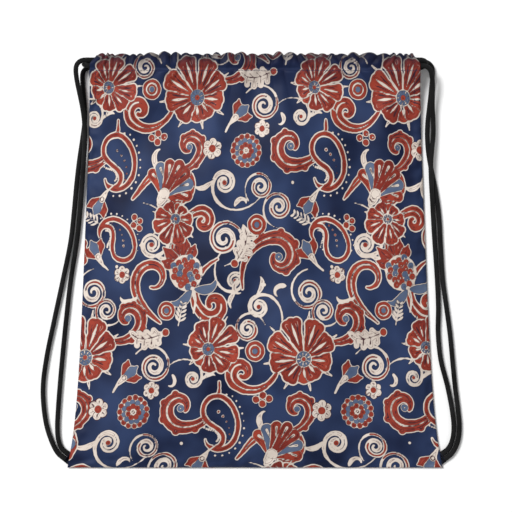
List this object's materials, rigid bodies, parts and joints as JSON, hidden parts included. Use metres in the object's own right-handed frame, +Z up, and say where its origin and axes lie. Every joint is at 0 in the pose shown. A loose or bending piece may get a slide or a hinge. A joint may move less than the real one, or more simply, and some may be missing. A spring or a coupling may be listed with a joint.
{
  "type": "drawstring bag",
  "caption": "Flat drawstring bag of printed cloth with cord casings at the mouth and carrying cords sewn into the bottom corners.",
  "frame": {"origin": "on the surface that the bag lies on, under the middle of its outline, cords left out", "axes": "+Z up and out of the front panel, +Y from the bottom edge towards the mouth, +X towards the viewer's right"},
  "size_m": [0.4275, 0.419, 0.0288],
  "materials": {
    "printed_polyester": "matt woven polyester with a dye-printed floral scroll pattern on a navy ground, white inside",
    "sewn_allowance": "overlocked polyester edges and dense navy stitching",
    "black_cord": "round braided black polyester cord, matt"
  },
  "bodies": {
    "root": {"front_panel": "printed_polyester", "back_panel": "printed_polyester", "front_casing": "printed_polyester", "back_casing": "printed_polyester", "bottom_seam": "sewn_allowance", "left_corner_tack": "sewn_allowance", "right_corner_tack": "sewn_allowance"},
    "left_cord": {"left_cord_front_strand": "black_cord", "left_cord_front_run": "black_cord", "left_cord_loop": "black_cord", "left_cord_back_run": "black_cord", "left_cord_back_strand": "black_cord"},
    "right_cord": {"right_cord_front_strand": "black_cord", "right_cord_front_run": "black_cord", "right_cord_loop": "black_cord", "right_cord_back_run": "black_cord", "right_cord_back_strand": "black_cord"},
    "left_flank": {"left_side_seam": "sewn_allowance"},
    "right_flank": {"right_side_seam": "sewn_allowance"}
  },
  "joints": [
    {"name": "left_cord_draw", "type": "slide", "parent": "root", "child": "left_cord", "axis": [-1, 0, 0], "range_m": [0, 0.08]},
    {"name": "right_cord_draw", "type": "slide", "parent": "root", "child": "right_cord", "axis": [1, 0, 0], "range_m": [0, 0.08]},
    {"name": "right_flank_gather", "type": "slide", "parent": "root", "child": "right_flank", "axis": [-1, 0, 0], "range_m": [0, 0.08], "deforming": ["front_panel", "back_panel", "front_casing", "back_casing"]},
    {"name": "left_flank_gather", "type": "slide", "parent": "root", "child": "left_flank", "axis": [1, 0, 0], "range_m": [0, 0.08], "deforming": ["front_panel", "back_panel", "front_casing", "back_casing"]}
  ],
  "couplings": [
    {"joint": "right_flank_gather", "follows": "left_cord_draw", "ratio": 1},
    {"joint": "left_flank_gather", "follows": "right_cord_draw", "ratio": 1}
  ]
}
